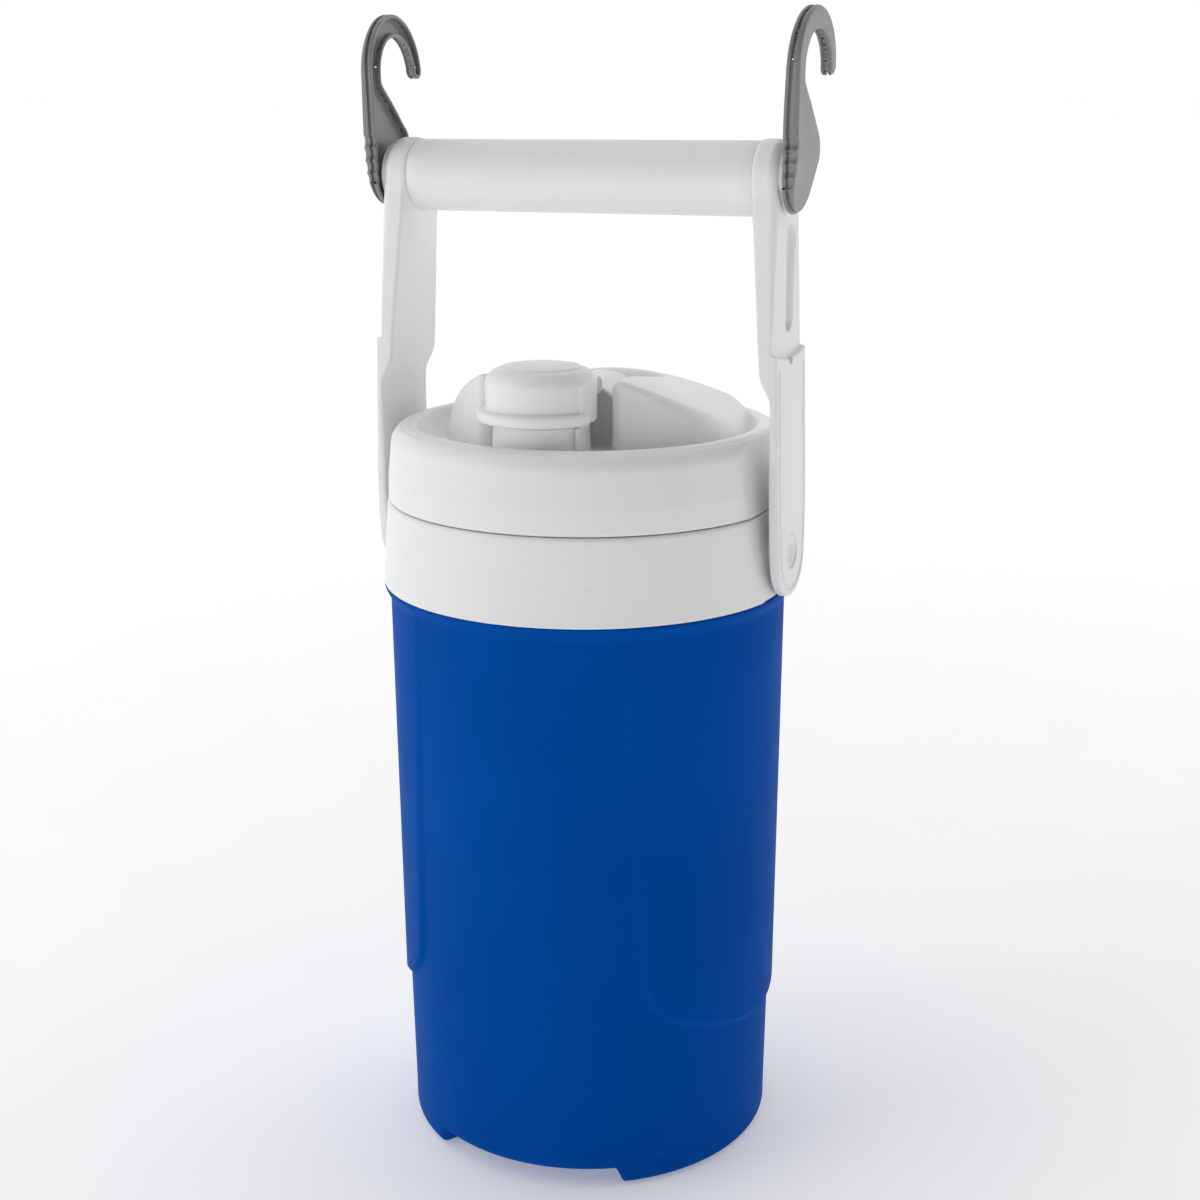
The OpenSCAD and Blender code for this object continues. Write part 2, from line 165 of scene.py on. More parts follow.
def moulded(name, deep, pale, scuffed, rough, grain, grain_size=0.0005, subsurface=0.0,
            shine=0.5):
    """Injection-moulded plastic: drifting tone, a fine grain, flow marks and light scuffs.
    deep and pale are the ends of the colour's drift, and grain is the height of the texture in metres."""
    material = bpy.data.materials.new(name)
    material.use_nodes = True
    nodes, links = material.node_tree.nodes, material.node_tree.links
    shader = nodes["Principled BSDF"]
    place = nodes.new("ShaderNodeTexCoord").outputs["Object"]

    def noise(scale, detail, stretch=(1, 1, 1)):
        mapping = nodes.new("ShaderNodeMapping")
        mapping.inputs["Scale"].default_value = stretch
        links.new(place, mapping.inputs["Vector"])
        texture = nodes.new("ShaderNodeTexNoise")
        texture.inputs["Scale"].default_value = scale
        texture.inputs["Detail"].default_value = detail
        links.new(mapping.outputs["Vector"], texture.inputs["Vector"])
        return texture.outputs["Fac"]

    def mix(factor, first, second):
        """Colour between two others; either is a plain colour or a node's output."""
        blend = nodes.new("ShaderNodeMix")
        blend.data_type = "RGBA"
        links.new(factor, blend.inputs[0])
        for socket, colour in ((blend.inputs[6], first), (blend.inputs[7], second)):
            if isinstance(colour, tuple):
                socket.default_value = (*colour, 1)
            else:
                links.new(colour, socket)
        return blend.outputs[2]

    def bump(height, distance):
        node = nodes.new("ShaderNodeBump")
        node.inputs["Strength"].default_value = 1
        node.inputs["Distance"].default_value = distance
        links.new(height, node.inputs["Height"])
        return node

    drift = remap(nodes, links, noise(14, 3), (0.3, 0.7), (0, 1))
    colour = mix(drift, deep, pale)
    scuff_lines = remap(nodes, links, noise(90, 4, (1, 1, 9)), (0.62, 0.72), (0, 1))
    scuff_areas = remap(nodes, links, noise(22, 2), (0.5, 0.68), (0, 1))
    scuff = nodes.new("ShaderNodeMath")
    scuff.operation = "MULTIPLY"
    links.new(scuff_lines, scuff.inputs[0])
    links.new(scuff_areas, scuff.inputs[1])
    worn = remap(nodes, links, scuff.outputs[0], (0, 1), (0, 0.5))
    links.new(mix(worn, colour, scuffed), shader.inputs["Base Color"])
    cloud = remap(nodes, links, noise(60, 3), (0.3, 0.7), (rough - 0.04, rough + 0.05))
    rougher = nodes.new("ShaderNodeMath")
    rougher.operation = "MULTIPLY_ADD"
    rougher.inputs[1].default_value = SCUFF_ROUGH
    links.new(scuff.outputs[0], rougher.inputs[0])
    links.new(cloud, rougher.inputs[2])
    links.new(rougher.outputs[0], shader.inputs["Roughness"])
    fine = bump(noise(1 / grain_size, 2), grain)
    flow = bump(noise(28, 1), FLOW_MARK)
    links.new(fine.outputs["Normal"], flow.inputs["Normal"])
    links.new(flow.outputs["Normal"], shader.inputs["Normal"])
    shader.inputs["Specular IOR Level"].default_value = shine
    if subsurface:
        shader.inputs["Subsurface Weight"].default_value = subsurface
        shader.inputs["Subsurface Radius"].default_value = GLOW_DEPTH
        shader.inputs["Subsurface Scale"].default_value = 1.0
    return material


BLUE = moulded("blue_moulded", deep=(0.0, 0.069, 0.36), pale=(0.0, 0.079, 0.40),
               scuffed=(0.0, 0.105, 0.43), rough=0.5, grain=0.00002, grain_size=0.0006, shine=0.015)
WHITE = moulded("white_moulded", deep=(0.85, 0.855, 0.86), pale=(0.88, 0.883, 0.89),
                scuffed=(0.79, 0.79, 0.78), rough=0.34, grain=0.000006, grain_size=0.0008,
                subsurface=0.06)
GREY = moulded("grey_moulded", deep=(0.19, 0.195, 0.205), pale=(0.225, 0.23, 0.24),
               scuffed=(0.3, 0.305, 0.31), rough=0.34, grain=0.00002, grain_size=0.0007, shine=0.7)
FOAM = moulded("foam", deep=(0.72, 0.62, 0.36), pale=(0.82, 0.73, 0.47), scuffed=(0.6, 0.5, 0.28),
               rough=0.85, grain=0.0002, grain_size=0.002)
RUBBER = moulded("seal_rubber", deep=(0.5, 0.51, 0.53), pale=(0.58, 0.59, 0.61),
                 scuffed=(0.4, 0.41, 0.42), rough=0.6, grain=0.00002)

# ------------------------------------------------------------------ shapes as distances


def both(a, b, r):
    """The space in a and in b, with the edge where they meet rounded to radius r."""
    return np.minimum(np.maximum(a, b), -r) + np.hypot(np.maximum(a + r, 0), np.maximum(b + r, 0))


def either(a, b, r):
    """The space in a or in b, with a fillet of radius r in the corner between them."""
    return -both(-a, -b, r)


def without(a, b, r):
    """The space in a but not in b, with a rounded edge."""
    return both(a, -b, r)


def along(z, points):
    """A value that changes straight from one [height, value] point to the next."""
    heights, values = zip(*points)
    return np.interp(z, heights, values)


def arc(u, w, r, start, end, n=10):
    return [(u + r * math.cos(math.radians(a)), w + r * math.sin(math.radians(a)))
            for a in np.linspace(start, end, n)]


def outline(points):
    """Distance to a closed outline in a plane, negative inside."""
    def distance(u, w):
        u, w = np.broadcast_arrays(u, w)
        nearest = np.full(u.shape, np.inf)
        inside = np.zeros(u.shape, bool)
        for (u0, w0), (u1, w1) in zip(points, points[1:] + points[:1]):
            eu, ew = u1 - u0, w1 - w0
            t = np.clip(((u - u0) * eu + (w - w0) * ew) / (eu * eu + ew * ew + 1e-12), 0, 1)
            nearest = np.minimum(nearest, (u - u0 - eu * t) ** 2 + (w - w0 - ew * t) ** 2)
            if ew:
                inside ^= ((w0 <= w) != (w1 <= w)) & (u < u0 + (w - w0) * eu / ew)
        return np.where(inside, -1, 1) * np.sqrt(nearest)
    return distance


def make_mesh(name, points, faces, material, body, nodes, normals=None):
    mesh = bpy.data.meshes.new(name)
    mesh.from_pydata((np.asarray(points) * MM).tolist(), [], faces.tolist())
    mesh.polygons.foreach_set("use_smooth", np.ones(len(mesh.polygons), bool))
    mesh.materials.append(material)
    mesh.update()
    if normals is not None:
        mesh.normals_split_custom_set_from_vertices(normals.tolist())
    piece = bpy.data.objects.new(name, mesh)
    bpy.context.scene.collection.objects.link(piece)
    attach(piece, body)
    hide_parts(*nodes)
    return piece


def surface(shape, low, high, cell):
    """Points, four-sided faces and normals of the surface of a shape given by its distance.
    One point goes in each cell that the surface crosses, and then slides down the distance onto it."""
    low = np.array(low, float)
    axes = [np.arange(a, b + cell, cell) for a, b in zip(low, high)]
    grid = shape(axes[0][:, None, None], axes[1][None, :, None], axes[2][None, None, :])
    grid = np.broadcast_to(grid, [len(a) for a in axes]).astype(np.float32)
    inside = grid < 0
    size = np.array(grid.shape)
    stride = np.array([size[1] * size[2], size[2], 1])
    cells, places, quads = [], [], []
    for axis in range(3):
        # Grid lines along this axis that cross the surface, and where
        near = [slice(None)] * 3
        far = [slice(None)] * 3
        near[axis], far[axis] = slice(0, -1), slice(1, None)
        a, b = grid[tuple(near)], grid[tuple(far)]
        starts = inside[tuple(near)]
        corner = np.argwhere(starts != inside[tuple(far)])
        a, b, starts = (v[tuple(corner.T)] for v in (a, b, starts))
        place = corner.astype(float)
        place[:, axis] += a / (a - b)
        # The four cells round each crossing hold the corners of one face
        one, two = (axis + 1) % 3, (axis + 2) % 3
        first = corner @ stride
        around = np.stack([first, first - stride[one], first - stride[one] - stride[two],
                           first - stride[two]], 1)
        cells.append(around.ravel())
        places.append(np.repeat(place, 4, 0))
        quads.append(np.where(starts[:, None], around, around[:, ::-1]))
    # A cell's point is the middle of the crossings on its edges
    used, index = np.unique(np.concatenate(cells), return_inverse=True)
    places = np.concatenate(places)
    count = np.bincount(index)
    points = np.stack([np.bincount(index, places[:, i]) / count for i in range(3)], 1)
    points = low + points * cell
    faces = np.searchsorted(used, np.concatenate(quads))
    probe = 0.02

    def slope(at):
        rise = []
        for i in range(3):
            shift = np.zeros(3)
            shift[i] = probe
            rise.append(shape(*(at + shift).T) - shape(*(at - shift).T))
        return np.stack(rise, 1) / (2 * probe)

    settling_steps = 4
    for _ in range(settling_steps):
        rise = slope(points)
        move = (shape(*points.T) / np.maximum((rise ** 2).sum(1), 0.05))[:, None] * rise
        length = np.linalg.norm(move, axis=1, keepdims=True)
        points = points - move * np.minimum(1, 0.6 * cell / np.maximum(length, 1e-9))
    normals = slope(points)
    normals /= np.maximum(np.linalg.norm(normals, axis=1, keepdims=True), 1e-9)
    return points, faces, normals


def moulding(name, shape, low, high, cell, material, body, nodes, mirrored=None):
    """A piece skinned from its shape, and its mirror image across the X plane if it has one."""
    points, faces, normals = surface(shape, low, high, cell)
    make_mesh(name, points, faces, material, body, nodes, normals)
    if mirrored:
        other, other_body, other_nodes = mirrored
        flip = np.array([-1, 1, 1])
        make_mesh(other, points * flip, faces[:, ::-1], material, other_body, other_nodes,
                  normals * flip)


def turned(name, rows, material, body, nodes, across=False):
    """A closed skin through rings of points: each row is (radii, heights) over the turn.
    across turns it about the X direction at the grip's height instead of the jug's own axis."""
    turns = len(rows[0][0])
    angle = np.arange(turns) * 2 * math.pi / turns
    rings = np.array([[r * np.cos(angle), r * np.sin(angle), z + 0 * angle] for r, z in rows])
    points = rings.transpose(0, 2, 1).reshape(-1, 3)
    if across:
        points = np.stack([points[:, 2], points[:, 0], points[:, 1]], 1)
    i, j = np.meshgrid(np.arange(len(rows)), np.arange(turns), indexing="ij")
    next_i, next_j = (i + 1) % len(rows), (j + 1) % turns
    faces = np.stack([i * turns + j, i * turns + next_j, next_i * turns + next_j, next_i * turns + j], -1)
    return make_mesh(name, points, faces.reshape(-1, 4), material, body, nodes)


# ------------------------------------------------------------------ body

FLAT_X, FLAT_LEAN = 75.3, math.tan(math.radians(7.2))
# The flats' edges have a fine groove of this radius
FLAT_GROOVE = 0.9
WALL = 2.2
PORT_R = 9.1
# Hole for the pin at each arm's foot, and the boss round it
PIVOT_HOLE_R, BOSS_R = 4.1, 9
# Degrees from the front at which each foot begins, and how far it takes to reach the ground
FOOT_AT, FOOT_RAMP = 30.4, 3.2
# A panel's half width low down, the growth of that with height, its lowest point, the radii of its
# lower edge and of its corners, and the width of the soft step round it
PANEL_HALF, PANEL_SPREAD, PANEL_LOW = 56.5, 0.037, 54
PANEL_SWEEP, PANEL_CORNER, PANEL_EDGE = 105, 10, 3.0


def flat_at(z):
    """How far out the flats beside the arms lie."""
    return FLAT_X - np.maximum(z - BODY_TOP, 0) * FLAT_LEAN


def with_flats(solid, x, z, beyond):
    """Cuts the flats, and a groove where they meet the round wall. beyond is the distance past that wall."""
    past = np.abs(x) - flat_at(z)
    return without(both(solid, past, 1.0), np.hypot(beyond, past) - FLAT_GROOVE, 0.7)


def body_at(z):
    """Radius of the plain wall at a height."""
    return 69.7 + 0.0172 * z


def panel_at(z):
    """Radius of the raised panels at a height."""
    return 72.03 + 0.0084 * z


def smooth(t):
    """A soft step from 0 to 1."""
    t = np.clip(t, 0, 1)
    return t * t * (3 - 2 * t)


def make_body():
    """The blue shell: from the port in its floor over the feet, up the wall and back down inside."""
    turns = 720
    angle = np.arange(turns) * 2 * math.pi / turns
    cos, sin = np.cos(angle), np.sin(angle)
    from_front = np.abs(np.degrees(np.arctan2(cos, np.abs(sin))))
    lift = FOOT * (1 - smooth((from_front - FOOT_AT) / FOOT_RAMP))

    def radius(z):
        """Radius all round at a height: the plain wall, and the raised panels on it."""
        y = (72.0 + 0.0084 * z) * sin
        side = np.abs(y) - PANEL_HALF - PANEL_SPREAD * (z - PANEL_LOW - 25)
        below = np.hypot(y, min(z - PANEL_LOW - PANEL_SWEEP, 0)) - PANEL_SWEEP
        distance = both(side, below, PANEL_CORNER)
        return body_at(z) + (panel_at(z) - body_at(z)) * smooth(0.75 - distance / PANEL_EDGE)

    ones = np.ones(turns)
    rows = [(r * ones, FOOT * ones) for r in (PORT_R, 20, 34, 48, 56)]
    rows += [(57.2 * ones, FOOT - 0.25 * (FOOT - lift)), (58 * ones, FOOT - 0.7 * (FOOT - lift)),
             (59 * ones, lift + 0.1), (60.5 * ones, lift), (63 * ones, lift)]
    round_r = 4
    for a in np.linspace(-90, 0, 11):
        rows.append((radius(8) - round_r + round_r * math.cos(math.radians(a)),
                     lift + round_r + round_r * math.sin(math.radians(a))))
    heights = np.concatenate([np.arange(12, 50, 2.5), np.arange(50, 84, 0.8), np.arange(84, 211, 3)])
    rows += [(radius(z), z * ones) for z in heights]
    flare = [(211.3, 0), (212.4, 0.15), (213.4, 0.75), (214.4, 1.35), (215.4, 1.85), (216.2, 2.1),
             (216.8, 2.05), (BODY_TOP - 0.05, 1.6)]
    for z, out in flare:
        r = radius(z) + out
        rows.append((np.minimum(r, FLAT_X / np.maximum(np.abs(cos), 0.05)), z * ones))
    mouth_r, mouth_low = 71.15, 208
    rows += [(mouth_r * ones, (BODY_TOP - 0.05) * ones), (mouth_r * ones, mouth_low * ones)]
    rows += [((body_at(z) - WALL) * ones, z * ones) for z in (206, 150, 100, 50, 16)]
    rows += [(66.8 * ones, (FOOT + WALL + 1.6) * ones), (64 * ones, (FOOT + WALL) * ones),
             (PORT_R * ones, (FOOT + WALL) * ones)]
    turned("jug_shell", rows, BLUE, "jug_body", ["outer_shell"])


def collar_shape(x, y, z):
    """The white band: a ring with flats, a spigot down into the shell and a boss for each arm's pin."""
    radius = np.hypot(x, y)
    side = np.abs(x)
    out = 76.05 - 0.072 * (z - BODY_TOP - 1.2)
    ring = both(radius - out, z - COLLAR_TOP, 1.0)
    ring = both(ring, BODY_TOP - z, 0.7)
    ring = with_flats(ring, x, z, radius - out)
    ring = without(ring, radius - 69.2, 0.5)
    spigot_r, spigot_thick, spigot_tall = 70.1, 1.8, 10
    spigot = np.maximum(np.abs(radius - spigot_r) - spigot_thick / 2,
                        np.abs(z - BODY_TOP + 3) - spigot_tall / 2)
    ring = np.minimum(ring, spigot)
    from_pivot = np.hypot(y, z - PIVOT_Z)
    boss = both(both(from_pivot - BOSS_R, side - 75.4, 0.6), 69.5 - side, 0.1)
    hole = both(from_pivot - PIVOT_HOLE_R, 60 - side, 0.1)
    return without(either(ring, boss, 0.8), hole, 0.2)


# ------------------------------------------------------------------ lid

UNDER_LID = 266
DISH_Z = 268.5
RIM_Z = 276
DOME_R, DOME_Y, DOME_TOP = 58, 16, 299
ROOF_R, ROOF_FALL = 90, math.radians(8)
# The roof falls to the back from ROOF_Y, and faster from BACK_Y
ROOF_Y = -25
BACK_Y, BACK_SLOPE = 48, math.radians(35)
CHANNEL_HALF, CHANNEL_BACK = 16.8, 31
NECK_TOP = 281.8
HINGE_HOLE_R = 1.95
CAP_R = 19.4
# Both the cap and the spout's neck have one fine rib this far round from the front
RIB_AZIMUTH = math.radians(67)


def dome_shape(x, y, z, radius):
    """Disc under an arched roof that falls gently to the back, cut by the channel round the spout."""
    wall = along(z, [(DISH_Z, DOME_R), (290, DOME_R - 1.6)])
    lift = (z - DOME_TOP) * math.cos(ROOF_FALL) + (y - ROOF_Y) * math.sin(ROOF_FALL) + ROOF_R
    edge = along(np.abs(x), [(30, 2.2), (42, 3.5), (56, 7)])
    disc = both(np.hypot(x, y - DOME_Y) - wall, np.hypot(x, lift) - ROOF_R, edge)
    behind = (z - DOME_TOP + 10) * math.cos(BACK_SLOPE) + (y - BACK_Y) * math.sin(BACK_SLOPE)
    disc = both(disc, behind, 6)
    disc = both(disc, radius - 66, 1)
    half = along(-y, [(-40, CHANNEL_HALF), (7, CHANNEL_HALF), (43, 25.5), (75, 30)])
    channel = both((np.abs(x) - half) * 0.97, y - CHANNEL_BACK, 2)
    return without(disc, channel, 5)


def pin_hole(x, y, z):
    return both(np.hypot(y - HINGE_Y, z - HINGE_Z) - HINGE_HOLE_R, np.abs(x) - 20, 0.1)


def rib_beside(x, y, out, thick):
    """A round rib that stands on the spout's side, out from its axis."""
    rib_x, rib_y = out * math.sin(RIB_AZIMUTH), SPOUT_Y - out * math.cos(RIB_AZIMUTH)
    return np.hypot(x - rib_x, y - rib_y) - thick


def hinge_block(x, y, z):
    """The barrel-topped block behind the spout, and the knuckle in front of it for the cap's pin."""
    block_half, crown_r, crown_top = 16.9, 20, 292
    barrel = both(np.hypot(x, z - (crown_top - crown_r)) - crown_r, -10.5 - y, 3)
    block = either(both(barrel, y - 20, 3), both(z - 278, y - 32, 2), 1)
    block = both(both(np.abs(x) - block_half, block, 0.6), -9 - y, 0.6)
    block = both(block, UNDER_LID - z, 0.1)
    knuckle_half, knuckle_r = 6.2, 4
    knuckle = both(np.hypot(y - HINGE_Y, z - HINGE_Z) - knuckle_r, np.abs(x) - knuckle_half, 0.5)
    stem = both(both(np.abs(x) - knuckle_half, np.abs(y + 12) - 5, 0.6), z - HINGE_Z, 0.5)
    return either(block, either(knuckle, both(stem, UNDER_LID - z, 0.1), 0.5), 0.8)


def spout_neck(x, y, z, from_spout):
    neck_r = along(z, [(UNDER_LID, 18.0), (272, 17.2), (NECK_TOP, 16.8)])
    neck = both(both(from_spout - neck_r, z - NECK_TOP, 0.7), UNDER_LID - z, 0.1)
    rib = both(rib_beside(x, y, 18.1, 1.0), z - NECK_TOP + 0.2, 0.4)
    return either(neck, both(rib, UNDER_LID - z, 0.1), 0.4)


def lid_shape(x, y, z):
    """The lid: a rim round a dish, with the dome, the hinge block and the spout's neck in it."""
    radius = np.hypot(x, y)
    from_spout = np.hypot(x, y - SPOUT_Y)
    out = along(z, [(LID_LOW, 73.5), (257, 73.3), (RIM_Z, 71.4)])
    solid = both(radius - out, z - RIM_Z, 6.4)
    solid = both(solid, LID_LOW - 0.3 - z, 1.0)
    solid = with_flats(solid, x, z, radius - out)
    wall_slope = 0.5
    dish = both((radius - 59.2 - (z - DISH_Z) * wall_slope) / math.hypot(1, wall_slope), DISH_Z - z, 4)
    solid = without(solid, dish, 0.9)
    rim_line = np.hypot(radius - 67.9, z - RIM_Z + 0.3) - 0.5
    solid = without(solid, rim_line, 0.3)
    solid = either(solid, both(dome_shape(x, y, z, radius), DISH_Z - 2 - z, 0.1), 1.4)
    solid = either(solid, hinge_block(x, y, z), 0.8)
    solid = either(solid, spout_neck(x, y, z, from_spout), 1.2)
    under = both(radius - 67.6, z - UNDER_LID, 0.8)
    solid = without(solid, under, 0.4)
    solid = without(solid, pin_hole(x, y, z), 0.2)
    hollow = both(both(np.abs(x) - 13, np.abs(y - 7) - 10, 1), z - 285, 1)
    solid = without(solid, hollow, 0.2)
    return without(solid, from_spout - 11, 0.4)


def cap_shape(x, y, z):
    """The spout's cap: a round cup with a raised disc, a lip in front and two lugs for its pin."""
    from_spout = np.hypot(x, y - SPOUT_Y)
    crown = CAP_TOP - 1.6 - 0.002 * from_spout ** 2
    solid = both(from_spout - CAP_R, z - crown, 5)
    disc = both(from_spout - 14.2, z - (CAP_TOP - 0.007 * from_spout ** 2), 0.8)
    solid = either(solid, disc, 0.4)
    solid = both(solid, CAP_LOW - z, 0.7)
    turn = np.degrees(np.arctan2(x, SPOUT_Y - y))
    lip_r, lip_half, lip_turn = 22.4, 2.1, 74
    lip = both(from_spout - lip_r, np.abs(z - CAP_LOW - lip_half) - lip_half, 1.4)
    lip = both(lip, (np.abs(turn) - lip_turn) * 0.36, 1.4)
    solid = either(solid, both(lip, CAP_R - 2 - from_spout, 0.1), 0.6)
    rib = both(rib_beside(x, y, CAP_R + 0.2, 1.1), z - CAP_TOP + 6, 0.5)
    solid = either(solid, both(rib, CAP_LOW + 0.2 - z, 0.2), 0.4)
    across_lug = np.abs(np.abs(x) - 8.4) - 1.9
    lug = both(across_lug, np.abs(z - HINGE_Z) - 3.4, 0.5)
    lug = both(lug, np.abs(y - HINGE_Y + 5.5) - 5.5, 0.3)
    knuckle = both(np.hypot(y - HINGE_Y, z - HINGE_Z) - 3.4, across_lug, 0.5)
    solid = either(solid, either(lug, knuckle, 0.3), 0.8)
    inside = both(from_spout - CAP_R + 2.8, z - 296, 1)
    return without(without(solid, inside, 0.5), pin_hole(x, y, z), 0.2)


# ------------------------------------------------------------------ handle

# Round ends of an arm, at its pin and at the grip
ARM_FOOT_R, ARM_HEAD_R = 16.3, 13.0
HOOK_HOLE_R = 5.05
# Shallow recess that the hook turns in
RECESS_R = 60.7
RECESS_X = 75.5


def arm_shape(x, y, z):
    """The right arm: thin beside the lid, thick below the grip, with a shallow recess for the hook."""
    half = along(z, [(PIVOT_Z, ARM_FOOT_R), (241, 17.5), (250, 18.05), (258, 18.1), (306, 17.7),
                     (350, 14.6), (GRIP_Z, ARM_HEAD_R)])
    plan = np.abs(y) - half
    plan = np.where(z < PIVOT_Z, np.hypot(y, z - PIVOT_Z) - ARM_FOOT_R, plan)
    plan = np.where(z > GRIP_Z, np.hypot(y, z - GRIP_Z) - ARM_HEAD_R, plan)
    outer = along(z, [(205, 80.2), (210, 80.1), (322, 77.15), (400, 77.1)])
    inner = along(z, [(210, 76.1), (287.5, 75.25), (290, 74.8), (295.5, 71.8), (298, 71.1), (345, 67.2),
                      (GRIP_Z - 12.8, 66.6), (400, 66.6)])
    from_hook = np.hypot(y, z - GRIP_Z)
    recess = both(from_hook - RECESS_R, RECESS_X - x, 0.8)
    arm = both(plan, x - outer, 1.2)
    arm = both(arm, inner - x, 1.1)
    arm = without(arm, recess, 0.9)
    corner = along(from_hook, [(16, 3.6), (48, 1.2), (RECESS_R - 2, 0.4)])
    arm = np.where(from_hook < RECESS_R - 2, both(arm, both(plan, x - RECESS_X, corner), 0.2), arm)
    root = both(both(from_hook - ARM_HEAD_R, 66.0 - x, 0.5), x - 72, 0.5)
    arm = either(arm, root, 2.0)
    spigot = both(both(from_hook - 9.5, 54 - x, 0.6), x - 68, 0.1)
    arm = np.minimum(arm, spigot)
    washer = both(both(from_hook - 11.5, x - RECESS_X - 0.8, 0.3), 74 - x, 0.1)
    arm = either(arm, washer, 0.3)
    slot_low, slot_high = 311, 348
    slot_half = along(z, [(slot_low, 3.6), (slot_high, 4.9)])
    slot_y = along(z, [(slot_low, 3.0), (slot_high, 3.8)])
    along_slot = np.clip(z, slot_low + 4, slot_high - 4.5)
    slot = np.hypot(y - slot_y, z - along_slot) - slot_half
    arm = without(arm, both(slot, 72.6 - x, 1.2), 1.0)
    frame_line = np.abs(np.where(z < 300, plan, 5.0) + 3.4) - 0.7
    arm = without(arm, both(frame_line, outer - 0.5 - x, 0.3), 0.3)
    notch = np.hypot(y + 0.5, z - (GRIP_Z - RECESS_R)) - 2.2
    arm = without(arm, both(notch, RECESS_X + 0.2 - x, 0.3), 0.4)
    bore = both(from_hook - HOOK_HOLE_R, 60 - x, 0.1)
    from_pivot = np.hypot(y, z - PIVOT_Z)
    bore = np.minimum(bore, from_pivot - PIVOT_HOLE_R)
    arm = without(arm, bore, 0.1)
    pin_head = both(from_pivot - 6.05, 77.4 - x, 0.1)
    return without(arm, pin_head, 0.9)


def make_grip():
    """The round bar between the arms, bored through, with softened ends."""
    turns = 128
    ones = np.ones(turns)
    bore = 9.6
    profile = [(bore, -GRIP_HALF), (GRIP_R - 0.7, -GRIP_HALF), (GRIP_R - 0.2, -GRIP_HALF + 0.2),
               (GRIP_R, -GRIP_HALF + 0.7)]
    profile += [(GRIP_R, x) for x in np.linspace(-60, 60, 25)]
    profile += [(r, -x) for r, x in reversed(profile[:4])]
    grip = turned("grip_skin", [(r * ones, x * ones) for r, x in profile], WHITE, "handle",
                  ["grip_sleeve"], across=True)
    grip.data.transform(Matrix.Translation((0, 0, GRIP_Z * MM)))


def make_pins():
    """Push-in pins in the arms' lower ends, with dished heads."""
    turns = 72
    ones = np.ones(turns)
    profile = [(0.01, 67.5), (3.6, 67.5), (4.05, 68), (4.05, 77.5), (6, 77.5), (6, 78.9), (5.85, 79.0),
               (5.2, 78.85), (4.4, 78.5), (3.6, 78.1), (2.8, 77.8), (1.9, 77.6), (0.9, 77.5), (0.01, 77.5)]
    for side, node in ((1, "right_pivot_pin"), (-1, "left_pivot_pin")):
        rows = [(r * ones, side * x * ones) for r, x in profile]
        pin = turned(node + "_skin", rows if side > 0 else rows[::-1], WHITE, "handle", [node], across=True)
        pin.data.transform(Matrix.Translation((0, 0, PIVOT_Z * MM)))


# ------------------------------------------------------------------ hooks

HOOK_IN, HOOK_T = 76.6, 5.5
HOOK_FRONT = -14.5
RING_R, RING_Y = 21.2, 6.7
THROAT_R, THROAT_Y = 14.0, 7.7
# The hook's edge is hollowed by a wide groove out to this distance from the throat's middle
THROAT_WALL = 15.8
RING_Z = HOOK_RISE - RING_R
THROAT_Z = RING_Z - 0.9


def hook_points():
    """Outline of a hook about its pivot, from the front of the plate round the J and back."""
    tip_z = RING_Z + 1.8
    points = [(HOOK_FRONT, 16.5)]
    points += arc(RING_Y, RING_Z, RING_R, 180, 5, 28)
    points += arc(24.55, tip_z, 3.3, 0, -180, 9)
    points += arc(THROAT_Y, THROAT_Z, THROAT_R, 12, 190, 24)
    points += [(-5.0, 31.2), (-2.9, 29.4), (1.4, 25.8), (5.4, 22.0), (9.2, 18.3)]
    points += arc(2.2, 8, 12.6, 38, -8, 7)
    points += arc(-1.8, 1, 12.7, -18, -172, 18)
    for k in range(4):
        points += arc(HOOK_FRONT - 1.2, -1.5 + 4.5 * k, 2.2, -56, 56, 7)
    return points


def hook_shape():
    side_view = outline(hook_points())
    lean, splay, plate_slope = (math.tan(math.radians(a)) for a in (2.7, 2.4, 8.3))

    def ramp(rise):
        """Zero below a line and rising beyond it, with a soft bend."""
        return (rise + np.sqrt(rise ** 2 + 0.3)) / 2

    def shape(x, y, z):
        w = z - GRIP_Z
        plan = side_view(y, w)
        across = (y - HOOK_FRONT) * splay
        outer = HOOK_IN + HOOK_T + ramp((w - 37) * lean + across - 0.7) - ramp((7 - w) * plate_slope)
        inner = HOOK_IN + ramp((w - 21) * lean + across)
        solid = both(plan, x - outer, 1.5)
        solid = both(solid, inner - x, 0.6)
        throat = np.hypot(y - THROAT_Y, w - THROAT_Z) < THROAT_WALL
        groove_half = np.where(throat, 1.15, 0.5)
        groove_x = np.where(throat, (outer + inner) / 2, inner + 1.9)
        groove = both(np.abs(x - groove_x) - groove_half, -(plan + 1.0), 0.15)
        solid = without(solid, groove, 0.25)
        pocket = both(plan + 1.4, x - inner - 2.4, 0.4)
        hub = np.hypot(y, w) - 9.5
        solid = without(solid, without(pocket, hub, 0.5), 0.25)
        stud = both(both(np.hypot(y, w) - 5, 61 - x, 0.5), x - 79, 0.1)
        return np.minimum(solid, stud)
    return shape


# ------------------------------------------------------------------ making it all


def light_paper(material):
    """Painted light: the floor glows towards white, the more the further it is from the jug, so it has no
    horizon.
    """
    nodes, links = material.node_tree.nodes, material.node_tree.links
    distance = nodes.new("ShaderNodeVectorMath")
    distance.operation = "LENGTH"
    links.new(nodes.new("ShaderNodeTexCoord").outputs["Object"], distance.inputs[0])
    # Painted light: the floor's glow is weaker near the jug and stronger further out
    glow = remap(nodes, links, distance.outputs["Value"], (0.15, 1.2), (0.26, 0.44))
    shader = nodes["Principled BSDF"]
    shader.inputs["Emission Color"].default_value = (1, 1, 1, 1)
    links.new(glow, shader.inputs["Emission Strength"])


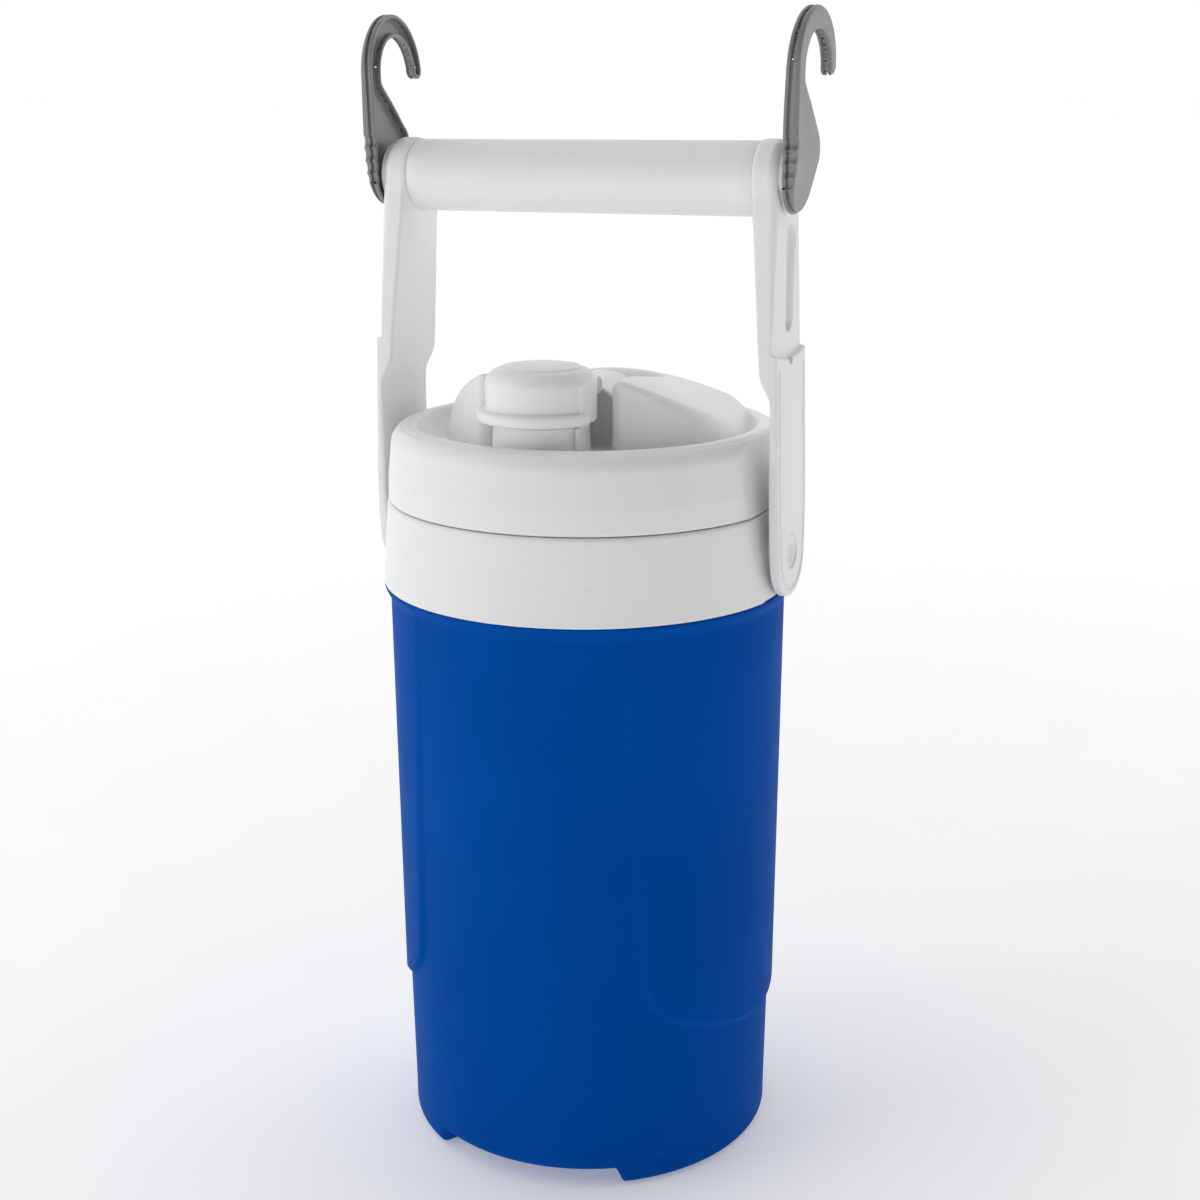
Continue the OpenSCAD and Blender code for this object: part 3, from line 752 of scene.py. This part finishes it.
def make_floor():
    """A sheet of white paper under the jug, in metres."""
    reach = 40.0
    mesh = bpy.data.meshes.new("floor")
    mesh.from_pydata([(-reach, -reach, 0), (reach, -reach, 0), (reach, reach, 0), (-reach, reach, 0)],
                     [], [(0, 1, 2, 3)])
    floor = bpy.data.objects.new("floor", mesh)
    bpy.context.scene.collection.objects.link(floor)
    paper = moulded("floor_paper", deep=(0.88, 0.88, 0.88), pale=(0.9, 0.9, 0.9),
                    scuffed=(0.87, 0.87, 0.87), rough=0.9, grain=0.00002, grain_size=0.003, shine=0.1)
    light_paper(paper)
    mesh.materials.append(paper)


def finish_node(node, material):
    """Gives a CAD node that stays on show its material."""
    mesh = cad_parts[node].data
    mesh.materials.clear()
    mesh.materials.append(material)


bpy.context.scene.view_settings.view_transform = "Standard"
add_camera()
add_world()
add_softbox("key", place=(-1.3, -1.15, 1.0), target=(0, 0, 0.25), size=(1.0, 1.4), power=6.4)

make_body()
moulding("collar_skin", collar_shape, (-79, -79, 207), (79, 79, 250), 0.8, WHITE, "jug_body", ["collar"])
moulding("lid_skin", lid_shape, (-77, -77, 246.5), (77, 77, 298), 0.7, WHITE, "lid", ["lid_shell"])
moulding("spout_cap_skin", cap_shape, (-25, -66, 280), (25, -7, 304.5), 0.45, WHITE, "flip_cap",
         ["spout_cap"])
moulding("right_arm_skin", arm_shape, (52, -20, 214), (82, 20, 378.5), 0.55, WHITE, "handle",
         ["right_arm"], ("left_arm_skin", "handle", ["left_arm"]))
make_grip()
make_pins()
moulding("right_hook_skin", hook_shape(), (59, -17, GRIP_Z - 14), (87, 30.5, GRIP_Z + 59), 0.42, GREY,
         "hook_right", ["right_hook"], ("left_hook_skin", "hook_left", ["left_hook"]))

for node, material in (("base_plug", BLUE), ("foam_jacket", FOAM), ("lid_foam", FOAM),
                       ("inner_liner", WHITE), ("lid_plug", WHITE), ("spout_nozzle", WHITE),
                       ("cap_hinge_pin", WHITE), ("lid_gasket", RUBBER), ("nozzle_seal", RUBBER),
                       ("cap_seal", RUBBER)):
    finish_node(node, material)

make_floor()
